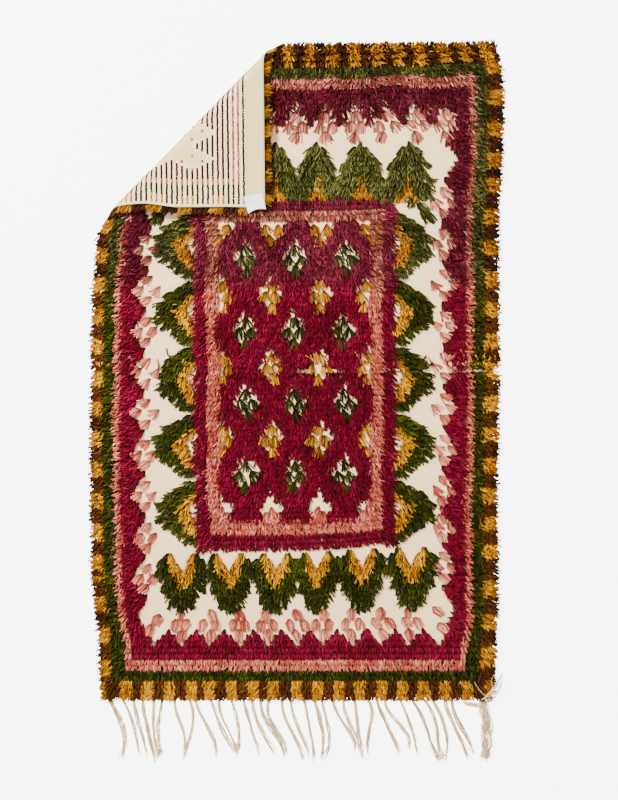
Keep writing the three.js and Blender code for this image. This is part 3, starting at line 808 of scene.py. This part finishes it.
def cotton(name, light, dark, hem=None):
    """Plain weave with threads 1.6 mm apart, drawn from the flat cloth's own coordinates."""
    material, tree, shader = new_material(name)
    uv, split = own_map(tree, "flat")
    threads = []
    wave = {1: 2 * math.pi / WEAVE_REPEAT}
    for axis in ("X", "Y"):
        turns = add_node(tree, "Math", {"operation": "MULTIPLY"}, wave, {0: (split, axis)})
        threads.append(add_node(tree, "Math", {"operation": "SINE"}, links={0: turns}))
    weave = add_node(tree, "Math", {"operation": "MULTIPLY"}, links={0: threads[0], 1: threads[1]})
    # Slubs about every 22 mm along the yarn, and fuzz about every 2.4 mm.
    slub = add_node(tree, "TexNoise", values={"Scale": 45.0, "Detail": 5.0}, links={"Vector": uv})
    fine = add_node(tree, "TexNoise", values={"Scale": 420.0, "Detail": 2.0}, links={"Vector": uv})
    mixed = add_node(tree, "Math", {"operation": "ADD"}, links={0: slub, 1: fine})
    toned = add_node(tree, "MapRange", values={"From Min": 0.7, "From Max": 1.3}, links={"Value": mixed})
    colour = add_node(tree, "Mix", {"data_type": "RGBA"}, {6: linear(dark), 7: linear(light)}, {"Factor": toned})
    if hem:
        in_hem = add_node(tree, "Math", {"operation": "GREATER_THAN"}, {1: HEM_FROM * MM}, {0: (split, "Y")})
        colour = add_node(tree, "Mix", {"data_type": "RGBA"}, {7: linear(hem)}, {"Factor": in_hem, 6: (colour, 2)})
    # Painted shade from the points' colours: under dense pile the cotton is darkened towards the wool's colour, as
    # the pile's painted shade, and along the fold it is darker, as painted shade. On the back it also carries a
    # tint where there are no knots.
    painted_shade_and_tint = add_node(tree, "VertexColor", {"layer_name": "painted_shade_and_tint"})
    times_it = {"data_type": "RGBA", "blend_type": "MULTIPLY"}
    shaded_cotton = add_node(tree, "Mix", times_it, {"Factor": 1.0}, {6: (colour, 2), 7: painted_shade_and_tint})
    bump = add_node(tree, "Bump", values={"Strength": 0.5, "Distance": 0.0004}, links={"Height": weave})
    soft = {"Strength": 0.35, "Distance": 0.002}
    bump = add_node(tree, "Bump", values=soft, links={"Height": slub, "Normal": bump})
    if hem:
        # The weft stands up in ridges between the rows of knots.
        first_ridge, second_ridge = (FIRST_ROW - ROW_PITCH / 2) * MM, (FIRST_ROW + ROW_PITCH / 2) * MM
        pitch = {"From Min": first_ridge, "From Max": second_ridge, "To Min": 0.0, "To Max": 2 * math.pi}
        phase = add_node(tree, "MapRange", {"clamp": False}, pitch, {"Value": (split, "Y")})
        crest = add_node(tree, "Math", {"operation": "COSINE"}, links={0: phase})
        rows_only = add_node(tree, "Math", {"operation": "LESS_THAN"}, {1: HEM_FROM * MM}, {0: (split, "Y")})
        ridge = add_node(tree, "Math", {"operation": "MULTIPLY"}, links={0: crest, 1: rows_only})
        proud = {"Strength": 0.25, "Distance": 0.001}
        bump = add_node(tree, "Bump", values=proud, links={"Height": ridge, "Normal": bump})
    surface = {"Roughness": 0.92, "Specular IOR Level": 0.25}
    feed(tree, shader, surface, {"Base Color": (shaded_cotton, 2), "Normal": bump})
    return material


COTTON_FRONT = cotton("cotton_plain_weave_front", "#ffe0ac", "#f4cd94")
COTTON_BACK = cotton("cotton_plain_weave_back", "#ffe8b6", "#f4daa6", hem="#e0c88a")
print("cottons", COTTON_FRONT.name, COTTON_BACK.name)

# %% Sheet helpers
def flat_grid(name, across, along):
    """A flat grid, and its points' places across and along it, from -1 to 1."""
    bpy.ops.object.select_all(action="DESELECT")
    bpy.ops.mesh.primitive_grid_add(x_subdivisions=across, y_subdivisions=along, size=2)
    piece = bpy.context.object
    piece.name = piece.data.name = name
    return piece, *places_of(piece).T[:2]


def places_of(piece):
    places = np.empty(len(piece.data.vertices) * 3)
    piece.data.vertices.foreach_get("co", places)
    return places.reshape(-1, 3)


def give_thickness(piece, upper, lower):
    """Closes a grid to a thin sheet, lays its two sides, and says whether the upper one comes first."""
    shell = piece.modifiers.new("thickness", "SOLIDIFY")
    shell.thickness, shell.offset = 0.01, -1
    bpy.ops.object.modifier_apply(modifier=shell.name)
    upper_first = places_of(piece)[0, 2] > -0.001
    sides = [upper, lower] if upper_first else [lower, upper]
    piece.data.vertices.foreach_set("co", np.concatenate(sides).reshape(-1))
    return upper_first


def give_flat_uv(piece, across, along):
    """A UV map for both sides that is the flat cloth, in metres."""
    point_of = np.empty(len(piece.data.loops), np.int32)
    piece.data.loops.foreach_get("vertex_index", point_of)
    while piece.data.uv_layers:
        piece.data.uv_layers.remove(piece.data.uv_layers[0])
    uv = np.stack([across, along], -1)[point_of % across.size] * MM
    piece.data.uv_layers.new(name="flat").data.foreach_set("uv", uv.reshape(-1))


def grid_places(low, high, coarse, fine, fine_from, fine_to):
    """Places from low to high, at the fine step between two of them."""
    steps = [low]
    while steps[-1] < high - 0.5 * fine:
        steps.append(steps[-1] + (fine if fine_from <= steps[-1] < fine_to else coarse))
    span = steps[-1] - low
    return np.array(steps) * (high - low) / span + low * (1 - (high - low) / span)


# %% Ground
places_a = grid_places(-HALF_WIDTH, HALF_WIDTH, 11, 6, -490, -70)
places_b = grid_places(-HALF_LENGTH, HALF_LENGTH, 12, 6, 420, 810)
# Closer lines at the crease, for the fluff that stops there.
crease_places = CREASE + np.array([-8.0, -4.5, 0.0, 4.5, 8.0])
places_b = np.sort(np.append(places_b[np.abs(places_b - CREASE) > 9], crease_places))
ground, grid_x, grid_y = flat_grid("ground", len(places_a) - 1, len(places_b) - 1)
at_a = places_a[np.rint((grid_x + 1) / 2 * (len(places_a) - 1)).astype(int)]
at_b = places_b[np.rint((grid_y + 1) / 2 * (len(places_b) - 1)).astype(int)]
at_x, at_y = lie(at_a, at_b)
# The selvedge is a thicker cord, and the hem lies double on the back.
selvedge = np.exp(-((HALF_WIDTH - np.abs(at_a)) / 4.0) ** 2)
back_height = 0.7 - 0.6 * smooth((at_b - (HEM_FROM - 3)) / 5) - 0.5 * selvedge * (past_fold(at_x, at_y) > 0)
front = turn_corner(at_x, at_y, WEAVE + 0.4 * selvedge)
back = turn_corner(at_x, at_y, back_height)
front_first = give_thickness(ground, front, back)
give_flat_uv(ground, at_a, at_b)
ground.data.materials.append(COTTON_FRONT)
ground.data.materials.append(COTTON_BACK)
is_front = (np.arange(2 * at_a.size) < at_a.size) == front_first
for face in ground.data.polygons:
    face.material_index = 0 if any(is_front[v] for v in face.vertices) else 1
    face.use_smooth = True
print("ground", triangles(ground), "triangles")

# %% Painted shade and tint on the ground
# Painted shade of the pile: what the cotton is multiplied by among dense pile, in the order of the wools, with
# none on bare ground.
PILE_SHADE = ["#ffffff", "#70122a", "#a8604e", "#242204", "#8a5408", "#301a0a"]
pile_shade_of = np.array([linear(code)[:3] for code in PILE_SHADE])
near = nearest_knot(at_a, at_b)
deep_in = smooth((cover[near] - 0.72) / 0.16) * smooth((np.abs(at_b - CREASE) - 3) / 4)
front_pile_shade = 1 + deep_in[:, None] * (pile_shade_of[chart[near]] - 1)
# Painted shade round the bend of the fold, at most halving the cotton's brightness.
bend_angle = np.clip(past_fold(at_x, at_y), 0, fold_arc) / FOLD_RADIUS
fold_shade = 1 - 0.5 * smooth((2.7 - bend_angle) / 0.9) * smooth(bend_angle / 0.6)
# The weft stands proud and pale between the rows of knots, and lies flatter where there are none.
knotted = np.maximum(smooth(1.6 * cover[near]), at_b > HEM_FROM)[:, None]
BARE_TINT = np.array([0.81, 0.77, 0.60])
# On the back: the fold's painted shade times the tint of bare cloth.
back_shade_and_tint = fold_shade[:, None] * (BARE_TINT + (1 - BARE_TINT) * knotted)
tint = np.concatenate([front_pile_shade, back_shade_and_tint] if front_first else [back_shade_and_tint, front_pile_shade])
tint = np.concatenate([tint, np.ones((len(tint), 1))], axis=1)
ground.data.color_attributes.new("painted_shade_and_tint", "FLOAT_COLOR", "POINT").data.foreach_set("color", tint.reshape(-1))
ground.data.update()
print("painted_shade_and_tint", len(tint), "points")

# %% [markdown]
# ## Backs of the knots
#
# On the back each knot shows as a short bar of its wool, so the pattern can be read there. The bars are
# single knots on the turned corner and runs of one colour on the underside.

# %% Knot backs
BAR_DEEP, BAR_WIDE, BAR_SLOPE = 5.6, 7.4, 0.7
# Knots further past the fold than this show their backs on the turned corner.
CORNER_FROM = -15
BAR_FACES = np.array([[0, 3, 2, 1], [4, 5, 6, 7], [0, 1, 5, 4], [1, 2, 6, 5], [2, 3, 7, 6], [3, 0, 4, 7]])


def bars(name, x0, x1, y, wools, base, top, tone_low, tone_high):
    """Low blocks with sloping sides, each from x0 to x1 along a row at y."""
    count = x0.size
    deep, slope = BAR_DEEP / 2, BAR_SLOPE
    plan = [
        (x0, y - deep, base), (x1, y - deep, base), (x1, y + deep, base), (x0, y + deep, base),
        (x0 + slope, y - deep + slope, top), (x1 - slope, y - deep + slope, top),
        (x1 - slope, y + deep - slope, top), (x0 + slope, y + deep - slope, top),
    ]
    corners = np.stack([turn_corner(px, py, ph) for px, py, ph in plan], axis=1)
    corner_of = (np.arange(count)[:, None, None] * 8 + BAR_FACES[:, ::-1]).reshape(-1)
    # Salmon and gold show lighter on the back.
    light = np.isin(wools, (PINK, GOLD))
    shade = rng.uniform(tone_low, tone_high, count) + 0.4 * light
    # The second UV value sets how much of the wool's painted root shade the bars take, which draws them darker.
    strand_uv = np.stack([shade, np.where(light, 0.5, 0.42)], -1)[corner_of // 8]
    sizes, material_of = np.full(6 * count, 4), np.repeat(wools - CRIMSON, 6)
    return new_piece(name, corners, corner_of, sizes, list(WOOL.values()), material_of, strand_uv)


on_flap = (past > CORNER_FROM) & covered & (row >= 4) & (edge_near > 6)
fx, fy = knot_x[on_flap], knot_y[on_flap] + rng.normal(0, 0.35, int(on_flap.sum()))
half = BAR_WIDE / 2 + rng.normal(0, 0.35, fx.size)
knot_backs = [bars("knot_backs_corner", fx - half, fx + half, fy, chart[on_flap], 0.9, -0.5, 0.1, 0.5)]
# On the underside neighbours of one wool are one bar. Knots on the turned corner count as none.
runs = []
for k in range(ROWS):
    starts = np.flatnonzero(np.diff(np.concatenate([[-1], np.where(past[k] > CORNER_FROM, -2, chart[k])])))
    ends = np.concatenate([starts[1:], [KNOTS]]) - 1
    for s0, s1 in zip(starts, ends):
        if chart[k, s0] != BARE and past[k, s0] <= CORNER_FROM:
            runs.append((knot_x[k, s0] - 3, knot_x[k, s1] + 3, knot_y[k, (s0 + s1) // 2], chart[k, s0]))
run_from, run_to, run_y, run_wool = np.array(runs).T
knot_backs.append(bars("knot_backs_under", run_from, run_to, run_y, run_wool.astype(int), 1.1, 0.15, 0.2, 0.6))
for piece in knot_backs:
    print(piece.name, triangles(piece))

# %% [markdown]
# ## Fringe
#
# The warp ends hang out in bundles of a few loosely twisted cotton threads, drawn together in twos and
# threes and frayed at their ends. Each bundle has a route: how far across it starts, passes a third
# and two thirds of its length, and ends, then its length and width. The last is a thick tangled one.

# %% Fringe routes
BUNDLES = [
    # root, upper, lower, tip, length, width
    (-478, -451, -435, -445, 147, 14),
    (-445, -422, -408, -399, 134, 9),
    (-414, -406, -392, -380, 144, 9),
    (-390, -385, -373, -358, 152, 10),
    (-362, -364, -360, -352, 145, 9),
    (-340, -349, -351, -347, 138, 9),
    (-308, -304, -286, -290, 145, 9),
    (-278, -265, -271, -284, 138, 9),
    (-258, -244, -218, -207, 142, 9),
    (-224, -208, -190, -163, 128, 9),
    (-199, -193, -173, -156, 138, 9),
    (-172, -157, -149, -158, 136, 9),
    (-142, -128, -115, -98, 133, 9),
    (-120, -109, -90, -60, 132, 9),
    (-93, -88, -59, -38, 142, 10),
    (-68, -76, -50, -30, 132, 9),
    (-40, -35, -10, 11, 147, 9),
    (-20, -12, 8, 26, 146, 9),
    (12, 22, 32, 38, 150, 7),
    (35, 51, 60, 57, 150, 10),
    (57, 66, 76, 64, 146, 10),
    (88, 95, 125, 142, 130, 9),
    (112, 116, 136, 151, 125, 9),
    (136, 145, 150, 161, 142, 9),
    (167, 182, 174, 175, 134, 9),
    (192, 208, 228, 252, 129, 9),
    (218, 228, 264, 273, 125, 9),
    (247, 270, 285, 294, 134, 7),
    (275, 308, 326, 349, 150, 10),
    (305, 337, 347, 357, 150, 10),
    (330, 354, 369, 366, 146, 9),
    (362, 378, 401, 425, 147, 10),
    (384, 390, 413, 437, 130, 10),
    (459, 466, 470, 467, 150, 30),
    (446, 470, 460, 472, 148, 13),
]
START_Y = -807.0
STEPS = 14
along_thread = np.linspace(0, 1, STEPS)
print("bundles", len(BUNDLES), "from", min(b[4] for b in BUNDLES), "to", max(b[4] for b in BUNDLES), "mm long")


# %% Fringe threads
def thread_bundle(root, upper, lower, tip, length, width):
    """Threads of one bundle, loosely twisted round its middle line and apart again at the end."""
    at = along_thread
    # One curve through the bundle's four places.
    x = np.polyval(np.polyfit([0, 1 / 3, 2 / 3, 1], [root, upper, lower, tip], 3), at)
    y = START_Y - at * (length + 8)
    out = []
    count = 4 + round(0.7 * width)
    for n in range(count):
        turns = rng.uniform(0.4, 1.3) * rng.choice([-1, 1])
        phase = 2 * math.pi * n / count + rng.uniform(-0.5, 0.5)
        swell = 0.55 + 0.45 * np.sin(math.pi * np.clip(at * 1.15, 0, 1))
        frayed = 1 + 0.9 * smooth((at - 0.84) / 0.16) * rng.uniform(0, 1.6)
        wander = np.interp(at, np.linspace(0, 1, 5), rng.normal(0, 0.14 * width, 5))
        off = 0.34 * width * swell * frayed * np.cos(phase + 2 * math.pi * turns * at) + wander
        height = 1.2 + 0.3 * width * (0.5 + 0.5 * np.sin(phase + 2 * math.pi * turns * at))
        height = np.minimum(height, 5.5) * (1 - 0.5 * smooth((at - 0.85) / 0.15))
        height[:2] = 1.6, 1.9
        stop = START_Y - (START_Y - y) * rng.uniform(0.9, 1.06)
        out.append(np.stack([x + off, stop, np.maximum(height, 1.1)], -1))
    return out


def tangle(x, y, size, count):
    """Short curled ends round a knot that ties bundles together."""
    out = []
    for _ in range(count):
        spin = np.linspace(0, rng.uniform(1.5, 4.0), STEPS) * rng.choice([-1, 1]) + rng.uniform(0, 6.3)
        far = size * np.linspace(0.05, rng.uniform(0.6, 1.7), STEPS)
        rise = 1.2 + 2.6 * np.sin(np.linspace(0, math.pi, STEPS)) * rng.uniform(0.4, 1.2)
        aside, ahead = rng.normal(0, 0.3 * size, 2)
        out.append(np.stack([x + aside + far * np.cos(spin), y + ahead + 1.3 * far * np.sin(spin), rise], -1))
    return out


def stray(x0, y0, x1, y1, high):
    """One loose thread in a shallow bow."""
    at = along_thread
    bow = min(5, high - 1) * np.sin(math.pi * at) * rng.choice([-1, 1]) + rng.normal(0, 0.6, STEPS)
    return np.stack([x0 + (x1 - x0) * at + bow, y0 + (y1 - y0) * at, 2 + (high - 2) * smooth(at * 4)], -1)


# Knots that tie bundles together: across, along, size, number of ends.
TIES = [
    (-353, -944, 8.0, 18), (-283, -926, 5.0, 8), (-156, -928, 7.0, 14),
    (345, -955, 6.0, 10), (361, -955, 6.0, 10), (466, -950, 9.0, 26),
    (458, -846, 7.0, 8), (472, -874, 6.0, 8), (462, -902, 7.0, 8),
]
# Loose threads of the corner bundle, from one end to the other, and how high they lie: some on the pile.
STRAYS = [
    (452, -824, 508, -744, 18), (460, -826, 506, -756, 18), (466, -820, 511, -742, 19),
    (456, -816, 500, -764, 18), (470, -824, 509, -760, 19), (462, -818, 505, -748, 18),
    (474, -822, 507, -770, 18), (449, -820, 494, -768, 18), (478, -816, 437, -768, 19),
    (484, -790, 486, -750, 18), (410, -820, 464, -830, 3), (414, -826, 470, -836, 3),
    (420, -829, 474, -828, 4), (412, -823, 460, -838, 2), (426, -830, 478, -840, 4),
    (416, -821, 480, -826, 5), (422, -824, 468, -832, 3), (406, -821, 470, -829, 4),
    (430, -826, 462, -835, 3), (418, -830, 476, -834, 5),
]

threads = []
for bundle in BUNDLES:
    threads += thread_bundle(*bundle)
for tie in TIES:
    threads += tangle(*tie)
threads += [stray(*ends) for ends in STRAYS]
fringe_paths = np.array(threads) * MM
fringe_thick = rng.normal(1.1, 0.15, len(threads)) * MM
taper = np.concatenate([np.ones(STEPS - 3), [0.9, 0.7, 0.4]])
fringe_radius = fringe_thick[:, None] * taper[None, :]
fringe_tone = rng.uniform(0, 1, len(threads))
print("threads", len(threads))

# %% Warp yarn
def warp_yarn(name, shades):
    """Soft undyed cotton yarn, matt like the ground and a little warmer, with fine flecks from its ply."""
    material, tree, shader = new_material(name)
    _, split = own_map(tree, "strand")
    toned = strand_tone(tree, split, shades, 0.5)
    place = add_node(tree, "TexCoord")
    # The turns of the ply, about 1.4 mm apart.
    ply = add_node(tree, "TexNoise", values={"Scale": 700.0, "Detail": 3.0}, links={"Vector": (place, "Object")})
    fleck = add_node(tree, "MapRange", values={"To Min": 0.82, "To Max": 1.12}, links={"Value": ply})
    colour = add_node(tree, "VectorMath", {"operation": "SCALE"}, links={"Scale": fleck, 0: toned})
    bump = add_node(tree, "Bump", values={"Strength": 0.4, "Distance": 0.0005}, links={"Height": ply})
    surface = {"Roughness": 0.9, "Specular IOR Level": 0.25}
    feed(tree, shader, surface, {"Base Color": colour, "Normal": bump})
    return material


WARP = warp_yarn("cotton_warp_yarn", ("#a4865c", "#dab88c", "#f4dcb2"))
fringe = tubes("fringe_threads", fringe_paths, fringe_radius, fringe_tone, WARP, sides=4)
print(fringe.name, triangles(fringe))

# %% [markdown]
# ## Label
#
# A blank white label of polyester satin tape, sewn over the end of the hem at the turned corner. Its free
# lower edge arches up from the cloth, with its corners down. The smooth filaments give it a soft gloss,
# and its ribs, 1.2 mm apart, a faint line.

# %% Satin tape
RIB_STEP = 0.0012


def satin(name, light, shade):
    material, tree, shader = new_material(name)
    uv, split = own_map(tree, "flat")
    turns = add_node(tree, "Math", {"operation": "MULTIPLY"}, {1: 2 * math.pi / RIB_STEP}, {0: (split, "Y")})
    rib = add_node(tree, "Math", {"operation": "SINE"}, links={0: turns})
    # Faint clouds about 17 mm wide, as on tape that has been handled.
    cloud = add_node(tree, "TexNoise", values={"Scale": 60.0, "Detail": 3.0}, links={"Vector": uv})
    colour = add_node(tree, "Mix", {"data_type": "RGBA"}, {6: linear(shade), 7: linear(light)}, {"Factor": cloud})
    bump = add_node(tree, "Bump", values={"Strength": 0.15, "Distance": 0.0002}, links={"Height": rib})
    surface = {"Roughness": 0.42, "Sheen Weight": 0.1}
    feed(tree, shader, surface, {"Base Color": (colour, 2), "Normal": bump})
    return material


SATIN = satin("polyester_satin_tape", "#f4f4f5", "#e6e7ea")
print("tape", SATIN.name)

# %% Label
LABEL = {"middle": (-109, 423), "width": 47, "length": 42, "turn": 14}
TAPE_THICK, LABEL_ARCH = 0.7, 5.5
label, grid_x, grid_y = flat_grid("label_tape", 24, 20)
u, v = grid_x / 2, grid_y / 2
turn = math.radians(LABEL["turn"])
arch = smooth(-2.2 * v - 0.1) * np.cos(math.pi * u)
lx = u * LABEL["width"] * (1 - 0.03 * smooth(-2 * v))
ly = v * LABEL["length"] + 5.0 * arch
px = LABEL["middle"][0] + lx * math.cos(turn) - ly * math.sin(turn)
py = LABEL["middle"][1] + lx * math.sin(turn) + ly * math.cos(turn)
off_cloth = LABEL_ARCH * arch + 0.8 * smooth(np.abs(u) * 2 - 0.6) + 1.0
upper = turn_corner(*unturn(px, py), -(off_cloth + TAPE_THICK))
lower = turn_corner(*unturn(px, py), -off_cloth)
give_thickness(label, upper, lower)
give_flat_uv(label, lx, ly)
label.data.materials.append(SATIN)
for face in label.data.polygons:
    face.use_smooth = True
label.data.update()
print(label.name, triangles(label))

# %% [markdown]
# ## Riding and replacing
#
# Nothing moves, so every piece rides on the one body. The pile and the ground stand for the slab, the
# threads for the fringe, and the tape for the label.

# %% Join to the frame
pieces = pile + knot_backs + [ground, fringe, label]
body = list(frame["bodies"])[0]
for piece in pieces:
    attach(piece, body)
stand_ins = [("rug", [ground] + pile + knot_backs), ("fringe", [fringe]), ("label", [label])]
for node, group in stand_ins:
    for piece in group:
        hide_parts(node)
print("pieces", len(pieces), "triangles", sum(triangles(p) for p in pieces))

# %% [markdown]
# ## Floor and light
#
# A plain pale floor and soft studio light, with the key from the upper left, as the shadows under the
# turned corner show.

# %% Floor and light
FLOOR_SIZE, FLOOR_GLOW, STUDIO_GLOW = 40, 5.0, 1.15
bpy.ops.object.select_all(action="DESELECT")
bpy.ops.mesh.primitive_plane_add(size=FLOOR_SIZE, location=(0, 0, -0.0005))
floor = bpy.context.object
floor.name = "floor"
floor_paint, floor_tree, floor_shader = new_material("matt_white_floor")
paint = {"Base Color": linear("#f7f7f7"), "Roughness": 0.95}
glow = {"Emission Color": linear("#ffffff"), "Emission Strength": FLOOR_GLOW}
feed(floor_tree, floor_shader, {**paint, **glow}, {})
floor.data.materials.append(floor_paint)

world = bpy.data.worlds.new("studio")
bpy.context.scene.world = world
world.use_nodes = True
world.node_tree.nodes["Background"].inputs["Color"].default_value = linear("#ffffff")
world.node_tree.nodes["Background"].inputs["Strength"].default_value = STUDIO_GLOW

LIGHTS = [
    # name, place, size, watts
    ("key", (-2.6, 2.6, 3.6), 1.4, 640),
    ("fill", (2.8, -2.2, 3.6), 2.6, 90),
]
for name, place, size, watts in LIGHTS:
    bpy.ops.object.light_add(type="AREA", location=place)
    lamp = bpy.context.object
    lamp.name = name
    lamp.data.shape = "DISK"
    lamp.data.size = size
    lamp.data.energy = watts
    lamp.rotation_euler = (-Vector(place)).to_track_quat("-Z", "Y").to_euler()
print("lights", [name for name, *_ in LIGHTS])
